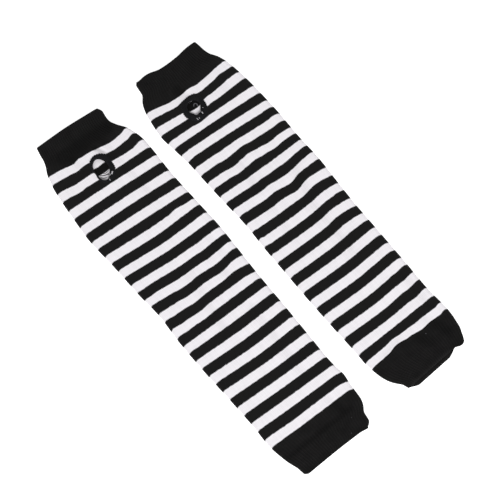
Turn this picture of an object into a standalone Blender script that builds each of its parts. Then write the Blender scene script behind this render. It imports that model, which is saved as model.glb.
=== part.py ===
"""A pair of long striped fingerless gloves, lying flat side by side.

Each glove is one knitted tube pressed flat, so that its two layers lie on each other: a ribbed
cuff at the fingers, a jersey tube with a thumb hole in the upper layer, and a ribbed cuff at the
forearm. A thick overlocked edging binds the thumb hole. The gloves point along Y, with their hand
ends towards +Y, and their undersides are flat on the ground at Z = 0.

The tables below are in millimetres, in each glove's own frame: x runs across it, from the fold on
its left to the fold on its right, and y along it, towards the fingers.
"""

import math
from collections import namedtuple

import bmesh
import bpy
from mathutils import Matrix

MM = 0.001

# How the pair lies: the right glove beside the left one, a little lower, both slightly turned in.
GLOVE_SPACING = 94.7
GLOVE_STAGGER = 6.1
LEFT_GLOVE_PLACE = (-46.45, -1.15)
LEFT_GLOVE_TURN = math.radians(-0.5)
RIGHT_GLOVE_TURN = math.radians(0.5)

# The height of both layers together, the gap between them, and the parting line at each seam.
# The two walls fill the rest: 1.6 mm each in the jersey, 2 mm in the ribs. Where the upper layer
# dips, the knit squeezes thinner, so that its inner face follows the dip only in part.
JERSEY_HEIGHT = 3.6
RIB_HEIGHT = 4.4
LAYER_GAP = 0.4
SEAM_GAP = 0.3
DEEPEST_DIP = 0.85
INNER_FOLLOW = 0.3
FLAT_FOLD_MARGIN = 6.0

# Ribs stand on the outer points of the upper layer of a cuff.
CUFF_RIBS = 34
RIB_RELIEF = 0.4
RIB_FADE = 3.0

# How finely the walls are divided.
TOP_STEPS = 26
INNER_STEPS = 16
BOTTOM_STEPS = 6
FOLD_STEPS = 5
CUFF_ROWS = (0.0, 0.2, 0.4, 0.6, 0.8, 0.94, 1.0)
HAND_TUBE_ROWS = 8
FOREARM_ROWS = 20

# The overlocked edging round the thumb hole, and the plug that cuts the hole.
EDGING_SEGMENTS = 28
EDGING_SIDES = 8
EDGING_THICKNESS = 2.2
CUTTER_RISE = 3.0

Edge = namedtuple("Edge", "y left right")
Course = namedtuple("Course", "y tilt_left tilt_right")
Fold = namedtuple("Fold", "x_from y_from x_to y_to half_width depth")
Hole = namedtuple("Hole", "x y half_width half_length lean rim_x rim_y rim_half_width rim_half_length")
Mouth = namedtuple("Mouth", "from_x to_x setback lift wave_x wave_half_width wave_rise")
Glove = namedtuple("Glove", "side place turn seams outline courses folds hole arm_mouth")

# Where the knitted pieces of each glove meet, from the hand opening to the arm opening.
Seams = namedtuple("Seams", "hand_opening hand_cuff wrist arm_cuff arm_opening")
LEFT_SEAMS = Seams(165.3, 138.3, 79.0, -130.1, -161.9)
RIGHT_SEAMS = Seams(156.4, 131.5, 77.0, -126.8, -159.4)

LEFT_OUTLINE = (
    Edge(y=168.0, left=-26.2, right=26.5),
    Edge(y=161.0, left=-27.4, right=29.3),
    Edge(y=157.0, left=-28.0, right=31.0),
    Edge(y=152.0, left=-30.0, right=30.5),
    Edge(y=147.0, left=-32.7, right=30.7),
    Edge(y=141.0, left=-34.9, right=33.0),
    Edge(y=135.0, left=-36.6, right=36.2),
    Edge(y=128.0, left=-37.8, right=38.9),
    Edge(y=120.0, left=-39.0, right=41.0),
    Edge(y=105.0, left=-41.0, right=41.8),
    Edge(y=89.0, left=-42.3, right=40.6),
    Edge(y=58.0, left=-41.2, right=41.0),
    Edge(y=27.0, left=-40.6, right=41.5),
    Edge(y=10.0, left=-39.5, right=40.2),
    Edge(y=-20.0, left=-41.2, right=39.5),
    Edge(y=-50.0, left=-41.5, right=39.2),
    Edge(y=-81.0, left=-40.3, right=38.7),
    Edge(y=-110.0, left=-40.3, right=38.8),
    Edge(y=-121.0, left=-40.6, right=40.2),
    Edge(y=-130.0, left=-39.8, right=39.1),
    Edge(y=-139.0, left=-38.3, right=38.6),
    Edge(y=-144.0, left=-37.3, right=37.9),
    Edge(y=-149.0, left=-35.7, right=36.0),
    Edge(y=-153.0, left=-34.5, right=33.2),
    Edge(y=-158.0, left=-33.6, right=31.4),
    Edge(y=-161.5, left=-31.0, right=30.4),
    Edge(y=-164.5, left=-28.0, right=28.0),
)
RIGHT_OUTLINE = (
    Edge(y=162.0, left=-24.5, right=25.0),
    Edge(y=159.0, left=-27.6, right=26.5),
    Edge(y=155.0, left=-28.3, right=28.3),
    Edge(y=151.0, left=-29.2, right=29.4),
    Edge(y=146.5, left=-33.0, right=29.8),
    Edge(y=141.0, left=-35.8, right=30.9),
    Edge(y=135.5, left=-37.6, right=34.0),
    Edge(y=129.0, left=-38.5, right=36.1),
    Edge(y=116.0, left=-39.5, right=38.4),
    Edge(y=104.0, left=-38.5, right=39.7),
    Edge(y=89.0, left=-37.7, right=40.3),
    Edge(y=74.0, left=-37.8, right=40.7),
    Edge(y=43.0, left=-37.4, right=40.2),
    Edge(y=27.0, left=-36.8, right=39.8),
    Edge(y=-4.0, left=-38.3, right=38.3),
    Edge(y=-20.0, left=-39.0, right=37.0),
    Edge(y=-50.0, left=-39.3, right=36.7),
    Edge(y=-81.0, left=-39.0, right=35.5),
    Edge(y=-112.0, left=-38.8, right=35.6),
    Edge(y=-120.0, left=-38.6, right=36.4),
    Edge(y=-129.0, left=-37.5, right=37.2),
    Edge(y=-136.0, left=-36.1, right=37.0),
    Edge(y=-142.0, left=-34.0, right=36.1),
    Edge(y=-148.0, left=-30.1, right=34.6),
    Edge(y=-153.0, left=-27.0, right=32.2),
    Edge(y=-157.0, left=-25.0, right=30.8),
    Edge(y=-160.0, left=-20.5, right=27.0),
)

# How the courses run across: the drop in y for each millimetre in x, on each side of the middle.
# The two tilts run into each other over a short bend.
COURSE_BEND = 8.0
LEFT_COURSES = (
    Course(y=166.0, tilt_left=0.08, tilt_right=0.17),
    Course(y=138.3, tilt_left=0.17, tilt_right=0.17),
    Course(y=116.6, tilt_left=0.135, tilt_right=0.135),
    Course(y=79.0, tilt_left=0.14, tilt_right=0.14),
    Course(y=33.5, tilt_left=0.125, tilt_right=0.125),
    Course(y=-3.3, tilt_left=0.07, tilt_right=0.07),
    Course(y=-90.0, tilt_left=0.086, tilt_right=0.086),
    Course(y=-130.1, tilt_left=0.065, tilt_right=0.075),
    Course(y=-162.9, tilt_left=0.02, tilt_right=0.06),
)
RIGHT_COURSES = (
    Course(y=156.4, tilt_left=0.22, tilt_right=0.02),
    Course(y=131.5, tilt_left=0.18, tilt_right=0.07),
    Course(y=112.0, tilt_left=0.12, tilt_right=0.12),
    Course(y=91.0, tilt_left=0.15, tilt_right=0.15),
    Course(y=48.0, tilt_left=0.11, tilt_right=0.11),
    Course(y=11.0, tilt_left=0.075, tilt_right=0.075),
    Course(y=-42.0, tilt_left=0.065, tilt_right=0.065),
    Course(y=-105.0, tilt_left=0.05, tilt_right=0.055),
    Course(y=-126.8, tilt_left=-0.02, tilt_right=0.08),
    Course(y=-159.4, tilt_left=0.0, tilt_right=0.0),
)

# Soft troughs in the upper layer.
LEFT_FOLDS = (
    Fold(x_from=-19, y_from=151, x_to=27, y_to=142, half_width=6.5, depth=0.8),
    Fold(x_from=9.5, y_from=138, x_to=12, y_to=124, half_width=4.0, depth=0.6),
    Fold(x_from=-11, y_from=143, x_to=-9, y_to=133, half_width=4.5, depth=0.4),
    Fold(x_from=18.5, y_from=113, x_to=18, y_to=84, half_width=5.0, depth=0.6),
    Fold(x_from=31, y_from=36, x_to=33, y_to=8, half_width=5.5, depth=0.4),
    Fold(x_from=22, y_from=6, x_to=27, y_to=-6, half_width=6.0, depth=0.5),
    Fold(x_from=2, y_from=20, x_to=-7, y_to=-36, half_width=6.5, depth=0.55),
    Fold(x_from=22, y_from=-38, x_to=14, y_to=-98, half_width=6.5, depth=0.5),
    Fold(x_from=19, y_from=-130, x_to=22, y_to=-141, half_width=5.0, depth=0.5),
    Fold(x_from=-36, y_from=-140, x_to=24, y_to=-143, half_width=6.0, depth=0.8),
)
RIGHT_FOLDS = (
    Fold(x_from=-14, y_from=132, x_to=0, y_to=129, half_width=4.5, depth=0.5),
    Fold(x_from=23, y_from=117, x_to=24, y_to=107, half_width=5.0, depth=0.4),
    Fold(x_from=-8, y_from=69, x_to=-11, y_to=38, half_width=6.0, depth=0.6),
    Fold(x_from=23, y_from=34, x_to=14, y_to=9, half_width=6.0, depth=0.6),
    Fold(x_from=14, y_from=9, x_to=11.5, y_to=-50, half_width=6.5, depth=0.7),
    Fold(x_from=-12, y_from=22, x_to=-16, y_to=-19, half_width=6.0, depth=0.4),
    Fold(x_from=31, y_from=-87, x_to=29.5, y_to=-117, half_width=4.0, depth=0.5),
    Fold(x_from=-10, y_from=-132, x_to=6, y_to=-147, half_width=8.0, depth=0.6),
    Fold(x_from=19, y_from=-131, x_to=26, y_to=-143, half_width=6.0, depth=0.5),
)

# The opening that the thumb goes through, and the rim of the edging that binds it.
LEFT_HOLE = Hole(
    x=1.5, y=122.4, half_width=4.9, half_length=8.2, lean=math.radians(-9.0),
    rim_x=3.0, rim_y=121.9, rim_half_width=7.9, rim_half_length=11.8,
)
RIGHT_HOLE = Hole(
    x=-5.8, y=117.3, half_width=5.1, half_length=5.5, lean=math.radians(0.0),
    rim_x=-5.8, rim_y=116.4, rim_half_width=9.2, rim_half_length=10.2,
)

# At the forearm opening the upper layer may stop short of the lower one and stand up a little,
# and both layers may rise together in one wave of the edge.
MOUTH_EASE = 9.0
LEFT_ARM_MOUTH = Mouth(
    from_x=-30.0, to_x=28.0, setback=0.3, lift=0.1, wave_x=8.0, wave_half_width=16.0, wave_rise=0.4,
)
RIGHT_ARM_MOUTH = Mouth(
    from_x=-26.0, to_x=19.0, setback=4.0, lift=0.7, wave_x=21.5, wave_half_width=7.0, wave_rise=2.0,
)

LEFT_GLOVE = Glove(
    "left", LEFT_GLOVE_PLACE, LEFT_GLOVE_TURN, LEFT_SEAMS, LEFT_OUTLINE, LEFT_COURSES,
    LEFT_FOLDS, LEFT_HOLE, LEFT_ARM_MOUTH,
)
RIGHT_GLOVE = Glove(
    "right", (LEFT_GLOVE_PLACE[0] + GLOVE_SPACING, LEFT_GLOVE_PLACE[1] - GLOVE_STAGGER),
    RIGHT_GLOVE_TURN, RIGHT_SEAMS, RIGHT_OUTLINE, RIGHT_COURSES,
    RIGHT_FOLDS, RIGHT_HOLE, RIGHT_ARM_MOUTH,
)

BLACK_YARN = (0.012, 0.012, 0.012)
WHITE_YARN = (0.86, 0.83, 0.87)


# Reading the tables

def smoothstep(value):
    """Ease from 0 to 1, held flat outside that span."""
    value = min(max(value, 0.0), 1.0)
    return value * value * (3.0 - 2.0 * value)


def read_row(table, y, column):
    """A column of a table at y, eased linearly from row to row; the rows run down in y."""
    if y >= table[0].y:
        return getattr(table[0], column)
    for upper, lower in zip(table, table[1:]):
        if y >= lower.y:
            share = (upper.y - y) / (upper.y - lower.y)
            start = getattr(upper, column)
            return start + share * (getattr(lower, column) - start)
    return getattr(table[-1], column)


def course_y(glove, middle_y, x):
    """Height along the glove of the course that crosses its middle at middle_y."""
    bow = (math.hypot(x, COURSE_BEND) - COURSE_BEND) / 2.0
    left_part = x / 2.0 - bow
    right_part = x / 2.0 + bow
    drop = left_part * read_row(glove.courses, middle_y, "tilt_left")
    drop += right_part * read_row(glove.courses, middle_y, "tilt_right")
    return middle_y - drop


def fold_edges(glove, middle_y):
    """Where one course meets the left and right folds of the flattened tube."""
    edges = []
    for column in ("left", "right"):
        reach = read_row(glove.outline, middle_y, column)
        edges.append(read_row(glove.outline, course_y(glove, middle_y, reach), column))
    return edges


def trough_depth(fold, x, y):
    """Depth of one soft trough at a point, widest along its middle and fading at its ends."""
    run_x = fold.x_to - fold.x_from
    run_y = fold.y_to - fold.y_from
    length = math.hypot(run_x, run_y)
    along = ((x - fold.x_from) * run_x + (y - fold.y_from) * run_y) / length
    aside = ((x - fold.x_from) * run_y - (y - fold.y_from) * run_x) / length
    past_end = max(-along, along - length, 0.0)
    off = math.hypot(aside, past_end) / fold.half_width
    if off >= 1.0:
        return 0.0
    return fold.depth * (1.0 - off * off) ** 2


def layer_dip(glove, x, y, edges):
    """How far the upper layer dips below the folds at both sides."""
    dip = sum(trough_depth(fold, x, y) for fold in glove.folds)
    dip = DEEPEST_DIP * (1.0 - math.exp(-dip / DEEPEST_DIP))
    margin = min(x - edges[0], edges[1] - x) / FLAT_FOLD_MARGIN
    return dip * smoothstep(margin)


def wall_thickness(fold_height):
    """Each layer takes half of what the gap between them leaves."""
    return (fold_height - LAYER_GAP) / 2.0


# Building a flattened tube

def mouth_wave(mouth, x):
    """How far the edge of the mouth rises along the glove at x, in both layers."""
    off = min(abs(x - mouth.wave_x) / mouth.wave_half_width, 1.0)
    return mouth.wave_rise * (1.0 - off * off) ** 2


def mouth_share(mouth, x):
    """How far the upper layer's edge is drawn back at x: 1 in the middle of the mouth."""
    drawn_in = smoothstep((x - mouth.from_x) / MOUTH_EASE)
    return drawn_in * smoothstep((mouth.to_x - x) / MOUTH_EASE)


def section_points(glove, middle_y, fold_height, inset, top_steps, relief, mouth_pull):
    """One closed loop round the tube: the underside, the right fold, the top, the left fold.

    An inset of 0 gives the outer loop, and an inset of the wall's thickness the inner one.
    """
    edges = fold_edges(glove, middle_y)
    follow = INNER_FOLLOW if inset > 0.0 else 1.0
    radius = fold_height / 2.0
    x_left = edges[0] + radius
    x_right = edges[1] - radius
    small = radius - inset
    points = []

    def place(x, z, setback=0.0):
        rise = mouth_pull * (mouth_wave(glove.arm_mouth, x) + setback)
        points.append((x, course_y(glove, middle_y, x) + rise, z))

    for step in range(BOTTOM_STEPS + 1):
        place(x_left + (x_right - x_left) * step / BOTTOM_STEPS, inset)
    for step in range(1, FOLD_STEPS):
        angle = math.pi * (step / FOLD_STEPS - 0.5)
        place(x_right + small * math.cos(angle), radius + small * math.sin(angle))
    for step in range(top_steps + 1):
        x = x_right + (x_left - x_right) * step / top_steps
        dip = layer_dip(glove, x, course_y(glove, middle_y, x), edges)
        z = fold_height - inset - dip * follow
        if step % 2 == 1:
            z -= relief
        share = mouth_share(glove.arm_mouth, x)
        place(x, z + mouth_pull * share * glove.arm_mouth.lift, share * glove.arm_mouth.setback)
    for step in range(1, FOLD_STEPS):
        angle = math.pi * (step / FOLD_STEPS + 0.5)
        place(x_left + small * math.cos(angle), radius + small * math.sin(angle))
    return points


def loop_shares(top_steps):
    """Where each point of such a loop lies, from 0 to 4: underside, right fold, top, left fold."""
    shares = [step / BOTTOM_STEPS for step in range(BOTTOM_STEPS + 1)]
    shares += [1.0 + step / FOLD_STEPS for step in range(1, FOLD_STEPS)]
    shares += [2.0 + step / top_steps for step in range(top_steps + 1)]
    shares += [3.0 + step / FOLD_STEPS for step in range(1, FOLD_STEPS)]
    return shares


def add_skin(mesh, rings, turned_in=False, closed=False):
    """Faces between successive rings, facing out of the rings or into them. Returns the points."""
    rows = [[mesh.verts.new(point) for point in ring] for ring in rings]
    count = len(rows[0])
    pairs = list(zip(rows, rows[1:]))
    if closed:
        pairs.append((rows[-1], rows[0]))
    for row, following in pairs:
        for i in range(count):
            j = (i + 1) % count
            corners = [row[i], row[j], following[j], following[i]]
            if turned_in:
                corners.reverse()
            mesh.faces.new(corners)
    return rows


def close_end(mesh, outside, inside, top_steps, faces_back):
    """Triangles across the cut edge of the wall, between its outer and its inner loop."""
    outer_shares = loop_shares(top_steps) + [4.0]
    inner_shares = loop_shares(INNER_STEPS) + [4.0]
    i = 0
    j = 0
    while i < len(outside) or j < len(inside):
        outer_point = outside[i % len(outside)]
        inner_point = inside[j % len(inside)]
        outer_ahead = outer_shares[i + 1] if i < len(outside) else math.inf
        inner_ahead = inner_shares[j + 1] if j < len(inside) else math.inf
        if outer_ahead <= inner_ahead:
            i += 1
            corners = [outer_point, outside[i % len(outside)], inner_point]
        else:
            j += 1
            corners = [outer_point, inside[j % len(inside)], inner_point]
        if not faces_back:
            corners.reverse()
        mesh.faces.new(corners)


def tube_mesh(glove, rows, top_steps):
    """A flattened tube with open ends, from rows of (y, fold height, rib relief, mouth pull)."""
    outer = []
    inner = []
    for middle_y, fold_height, relief, pull in sorted(rows, reverse=True):
        outer.append(section_points(
            glove, middle_y, fold_height, 0.0, top_steps, relief, pull))
        inner.append(section_points(
            glove, middle_y, fold_height, wall_thickness(fold_height), INNER_STEPS, 0.0, pull))
    mesh = bmesh.new()
    outer_rows = add_skin(mesh, outer)
    inner_rows = add_skin(mesh, inner, turned_in=True)
    close_end(mesh, outer_rows[0], inner_rows[0], top_steps, faces_back=False)
    close_end(mesh, outer_rows[-1], inner_rows[-1], top_steps, faces_back=True)
    bmesh.ops.triangulate(mesh, faces=mesh.faces[:])
    return mesh


def yarn_material(name, colour):
    """Matt knitted yarn."""
    material = bpy.data.materials.new(name)
    material.use_nodes = True
    shader = material.node_tree.nodes["Principled BSDF"]
    shader.inputs["Base Color"].default_value = (*colour, 1.0)
    shader.inputs["Roughness"].default_value = 0.9
    shader.inputs["Metallic"].default_value = 0.0
    return material


def glove_to_world(glove):
    """The glove's own frame in millimetres, laid in the pair's frame in metres."""
    place = Matrix.Translation((glove.place[0] * MM, glove.place[1] * MM, 0.0))
    return place @ Matrix.Rotation(glove.turn, 4, "Z") @ Matrix.Diagonal((MM, MM, MM, 1.0))


def finish_object(name, mesh, glove, colour):
    """Turn the working mesh into a named object in the pair's frame, with its own yarn."""
    mesh.transform(glove_to_world(glove))
    data = bpy.data.meshes.new(name)
    mesh.to_mesh(data)
    mesh.free()
    data.materials.append(yarn_material(name + "_yarn", colour))
    data.shade_smooth()
    data.set_sharp_from_angle(angle=math.radians(40.0))
    item = bpy.data.objects.new(name, data)
    bpy.context.collection.objects.link(item)
    return item


# Ribbed cuffs

def cuff_rows(seam_y, opening_y, pulls):
    """Rows from the seam to the opening, with the ribs rising from the seam."""
    rows = []
    for share in CUFF_ROWS:
        y = seam_y + share * (opening_y - seam_y)
        swell = smoothstep(share * 3.0)
        height = JERSEY_HEIGHT + (RIB_HEIGHT - JERSEY_HEIGHT) * swell
        rise = smoothstep(abs(y - seam_y) / RIB_FADE)
        rows.append((y, height, RIB_RELIEF * rise, pulls * smoothstep((share - 0.6) / 0.4)))
    return rows


def add_hand_cuff(glove):
    """The ribbed band round the fingers."""
    rows = cuff_rows(glove.seams.hand_cuff + SEAM_GAP / 2.0, glove.seams.hand_opening, 0.0)
    mesh = tube_mesh(glove, rows, 2 * CUFF_RIBS)
    finish_object(glove.side + "_hand_cuff", mesh, glove, BLACK_YARN)


def add_arm_cuff(glove):
    """The ribbed band round the forearm, whose mouth may gape a little."""
    rows = cuff_rows(glove.seams.arm_cuff - SEAM_GAP / 2.0, glove.seams.arm_opening, 1.0)
    mesh = tube_mesh(glove, rows, 2 * CUFF_RIBS)
    finish_object(glove.side + "_arm_cuff", mesh, glove, BLACK_YARN)


# Jersey tubes

def jersey_rows(top_y, bottom_y, count):
    """Evenly spaced rows between two seams, each end half a seam gap short."""
    start = top_y - SEAM_GAP / 2.0
    span = bottom_y + SEAM_GAP / 2.0 - start
    return [(start + span * i / count, JERSEY_HEIGHT, 0.0, 0.0) for i in range(count + 1)]


def rim_loop(hole, grow):
    """The outer rim of the edging, grown outwards by a margin."""
    points = []
    for i in range(EDGING_SEGMENTS):
        angle = 2.0 * math.pi * i / EDGING_SEGMENTS
        x = (hole.rim_half_width + grow) * math.cos(angle)
        y = (hole.rim_half_length + grow) * math.sin(angle)
        points.append((
            hole.rim_x + x * math.cos(hole.lean) - y * math.sin(hole.lean),
            hole.rim_y + x * math.sin(hole.lean) + y * math.cos(hole.lean),
        ))
    return points


def hole_cutter(glove):
    """A plug that goes through the upper layer only, from the space between the layers."""
    low = wall_thickness(JERSEY_HEIGHT) + LAYER_GAP / 4.0
    high = JERSEY_HEIGHT + CUTTER_RISE
    rings = [[(x, y, z) for x, y in rim_loop(glove.hole, SEAM_GAP)] for z in (low, high)]
    mesh = bmesh.new()
    bottom, top = add_skin(mesh, rings)
    mesh.faces.new(reversed(bottom))
    mesh.faces.new(top)
    cutter = finish_object(glove.side + "_thumb_hole_cutter", mesh, glove, BLACK_YARN)
    cutter.hide_render = True
    cutter.display_type = "WIRE"
    return cutter


def add_hand_tube(glove):
    """The striped jersey round the palm, with the thumb hole cut through its upper layer."""
    rows = jersey_rows(glove.seams.hand_cuff, glove.seams.wrist, HAND_TUBE_ROWS)
    mesh = tube_mesh(glove, rows, TOP_STEPS)
    tube = finish_object(glove.side + "_hand_tube", mesh, glove, WHITE_YARN)
    cut = tube.modifiers.new("thumb_hole", "BOOLEAN")
    cut.operation = "DIFFERENCE"
    cut.solver = "EXACT"
    cut.object = hole_cutter(glove)


def add_forearm_tube(glove):
    """The striped jersey from the wrist to the forearm cuff."""
    rows = jersey_rows(glove.seams.wrist, glove.seams.arm_cuff, FOREARM_ROWS)
    mesh = tube_mesh(glove, rows, TOP_STEPS)
    finish_object(glove.side + "_forearm_tube", mesh, glove, WHITE_YARN)


# Thumb edging

def add_thumb_edging(glove):
    """The thick overlocked ring that wraps the cut edge of the thumb hole."""
    hole = glove.hole
    rim = rim_loop(hole, 0.0)
    middle_z = wall_thickness(JERSEY_HEIGHT) + SEAM_GAP + EDGING_THICKNESS / 2.0
    rings = []
    for i, (rim_x, rim_y) in enumerate(rim):
        angle = 2.0 * math.pi * i / EDGING_SEGMENTS
        x = hole.half_width * math.cos(angle)
        y = hole.half_length * math.sin(angle)
        hole_x = hole.x + x * math.cos(hole.lean) - y * math.sin(hole.lean)
        hole_y = hole.y + x * math.sin(hole.lean) + y * math.cos(hole.lean)
        ring = []
        for side in range(EDGING_SIDES):
            turn = -2.0 * math.pi * (side + 0.5) / EDGING_SIDES
            outward = 0.5 + 0.5 * math.cos(turn) / math.cos(math.pi / EDGING_SIDES)
            lift = math.sin(turn) / math.cos(math.pi / EDGING_SIDES)
            ring.append((
                hole_x + (rim_x - hole_x) * outward,
                hole_y + (rim_y - hole_y) * outward,
                middle_z + 0.5 * EDGING_THICKNESS * lift,
            ))
        rings.append(ring)
    mesh = bmesh.new()
    add_skin(mesh, rings, closed=True)
    bmesh.ops.triangulate(mesh, faces=mesh.faces[:])
    finish_object(glove.side + "_thumb_edging", mesh, glove, BLACK_YARN)


for old in list(bpy.data.objects):
    bpy.data.objects.remove(old, do_unlink=True)

for pair_glove in (LEFT_GLOVE, RIGHT_GLOVE):
    add_hand_cuff(pair_glove)
    add_hand_tube(pair_glove)
    add_forearm_tube(pair_glove)
    add_arm_cuff(pair_glove)
    add_thumb_edging(pair_glove)
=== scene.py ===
"""A pair of long fingerless gloves, knitted in black and white stripes and laid flat side by side.

Lengths in the tables are millimetres in each glove's own frame: x runs across it, from the fold at
its left to the fold at its right, and y along it, towards the fingers. A stripe number counts the
knitting along the glove: 0 is where the hand cuff ends, and 35 is where the arm cuff begins.
"""

import math
from collections import namedtuple

import bmesh
import bpy
import numpy as np
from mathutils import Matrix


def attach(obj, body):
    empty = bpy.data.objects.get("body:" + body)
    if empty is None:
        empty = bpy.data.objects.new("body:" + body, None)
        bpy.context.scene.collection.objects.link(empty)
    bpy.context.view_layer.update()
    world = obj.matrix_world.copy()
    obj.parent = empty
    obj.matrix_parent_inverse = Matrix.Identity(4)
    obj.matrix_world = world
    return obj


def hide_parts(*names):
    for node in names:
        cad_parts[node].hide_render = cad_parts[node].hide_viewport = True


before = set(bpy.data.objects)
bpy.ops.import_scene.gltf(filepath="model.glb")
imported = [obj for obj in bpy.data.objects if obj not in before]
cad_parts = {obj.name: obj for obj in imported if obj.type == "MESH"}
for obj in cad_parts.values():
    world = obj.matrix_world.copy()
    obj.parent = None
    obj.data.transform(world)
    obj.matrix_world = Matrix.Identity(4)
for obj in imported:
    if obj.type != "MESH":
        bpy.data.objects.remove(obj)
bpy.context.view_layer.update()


# Striped jersey tubes
# Each glove is one tube of fine acrylic jersey, knitted in the round in even black and white
# stripes, without side seams. It lies pressed flat, one layer on the other, with soft creases.

MM = 0.001
STRIPES = 35
CUFF_STRIPES = 4
COURSES_PER_STRIPE = 8
WALES_ROUND = 160
ROWS_PER_STRIPE = 5

JERSEY_HEIGHT = 3.6
CLOTH_WALL = 1.1
DEEPEST_CREASE = 0.85
CREASE_EASE = 6.0
UNEVENNESS = 0.10

# The share of the wales in each flat layer; the folds hold the rest.
FLAT_SHARE = 0.465

# Next to the folds the courses sag towards the arm, and the sag goes on round to the underside.
FOLD_SAG = 1.5
SAG_ON_TOP = 0.45
FOLD_EASE = 3.2
COURSE_BEND = 8.0


def table(columns, rows):
    """A short table, its columns named."""
    row_kind = namedtuple("Row", columns)
    return tuple(row_kind(*row) for row in rows)


# Where the glove's left and right folds lie.
LEFT_OUTLINE = table("y left right", (
    (168, -26.7, 26.5),
    (161, -28.2, 29.4),
    (157, -28.9, 31),
    (152, -30.7, 30.3),
    (147, -33.6, 30.2),
    (141, -35.5, 32.9),
    (135, -37.2, 36.8),
    (128, -38.4, 39.4),
    (120, -39.4, 41),
    (105, -41, 41.1),
    (89, -42.4, 40.4),
    (58, -41.2, 41),
    (27, -40.6, 41.9),
    (10, -39.4, 41.3),
    (-20, -41, 40.1),
    (-50, -41.1, 39.8),
    (-81, -40.3, 39.1),
    (-110, -40.1, 38.8),
    (-121, -40.6, 39.9),
    (-130, -40.2, 38.7),
    (-139, -38.7, 38.1),
    (-144, -37.7, 37.6),
    (-149, -36.1, 35.7),
    (-153, -34.9, 32.9),
    (-158, -34.2, 32),
    (-160.5, -33.4, 31.6),
    (-161.8, -31, 31),
    (-164.5, -27.5, 27.5),
))
RIGHT_OUTLINE = table("y left right", (
    (162.6, -25.8, 24.7),
    (160.6, -28.2, 25.8),
    (159, -28.6, 27),
    (155, -29.2, 28.5),
    (151, -29.9, 29.1),
    (146.5, -33.7, 29.5),
    (141, -36.3, 30.8),
    (135.5, -37.9, 34),
    (129, -39, 36.4),
    (116, -40.6, 38.6),
    (104, -39.5, 39.7),
    (89, -38.1, 40.3),
    (74, -37.9, 40.6),
    (43, -37.4, 39.9),
    (27, -36.8, 40.3),
    (-4, -38.1, 38.6),
    (-20, -38.4, 37.8),
    (-50, -39.1, 37.3),
    (-81, -39.2, 36.7),
    (-112, -39, 36.1),
    (-120, -39.2, 36.6),
    (-129, -38.1, 37),
    (-136, -36.7, 36.6),
    (-142, -34.5, 35.7),
    (-148, -30.7, 34.5),
    (-151, -28.4, 33.2),
    (-154.5, -27.2, 31.9),
    (-157, -26.2, 30.6),
    (-160, -24, 29.2),
))

# Where the courses cross the middle of the glove, and how far each drops for a millimetre of x.
LEFT_COURSES = table("number y tilt_left tilt_right", (
    (-4, 165.3, 0.08, 0.17),
    (0, 138.2, 0.2, 0.15),
    (2, 123.5, 0.19, 0.11),
    (4, 109.5, 0.13, 0.14),
    (7, 86.8, 0.12, 0.15),
    (9, 71.4, 0.14, 0.14),
    (11, 55.5, 0.17, 0.06),
    (13, 40.5, 0.17, 0.08),
    (18, 3.4, 0.15, 0.04),
    (20, -10.9, 0.07, 0.07),
    (23, -34.1, 0.1, 0.06),
    (26, -58.2, 0.13, 0.04),
    (31, -98, 0.1, 0.08),
    (35, -130.4, 0.08, 0.06),
    (39, -162.1, 0.02, 0.06),
))
RIGHT_COURSES = table("number y tilt_left tilt_right", (
    (-4, 156.4, 0.22, 0.02),
    (0, 130, 0.26, 0),
    (2, 117.3, 0.22, 0.01),
    (4, 105.1, 0.13, 0.13),
    (6, 91.4, 0.14, 0.17),
    (10, 62.3, 0.12, 0.14),
    (12, 47.7, 0.14, 0.08),
    (15, 25.5, 0.16, 0.02),
    (17, 10.5, 0.13, 0.03),
    (21, -19.6, 0.11, 0.04),
    (27, -66.2, 0.12, 0.02),
    (32, -105.4, 0.09, 0.01),
    (33, -113.1, 0.06, 0.05),
    (34, -120.3, 0.04, 0.08),
    (35, -126.5, 0.01, 0.12),
    (39, -156, 0, 0),
))

# Places where the courses are pulled towards the fingers, or, where the rise is negative, back.
# The reach along the glove counts in stripes.
LEFT_RIPPLES = table("number x reach reach_x rise", (
    (0, -14, 1.6, 9, -0.9),
    (0, 1, 1.8, 11, 0.9),
    (0.3, 20, 1.8, 11, -1.1),
    (-0.5, 37, 2.5, 8, 2.2),
    (1.6, 38, 1.5, 8, 1.2),
    (-0.1, -8, 0.9, 4.5, 0.9),
    (1.2, -7, 1, 8, 1),
    (2, -22, 0.9, 12, -0.7),
    (2, 26, 0.9, 15, -0.9),
    (3, -24, 0.9, 8, -0.7),
    (10, 25, 1.2, 9, 0.9),
    (15, 20, 2.2, 9, -0.6),
    (15.5, -36, 1.6, 9, -0.8),
    (16.7, 29, 1.5, 8, -0.9),
    (17.5, -12, 2.4, 10, -0.6),
    (17.5, 4, 2.6, 9, 0.7),
    (17.5, 20, 2.2, 9, -0.8),
    (17.5, 32, 2.4, 8, 0.7),
    (20, -13, 2, 10, -0.8),
    (20, -37, 2.2, 7, 0.9),
    (19, 24, 1, 9, 0.6),
    (19.5, 38, 1.6, 8, -1.2),
    (34, -14, 1.4, 18, -0.5),
    (34, 38, 2, 7, -1),
    (39, 29, 2, 10, -1.1),
))
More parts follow.
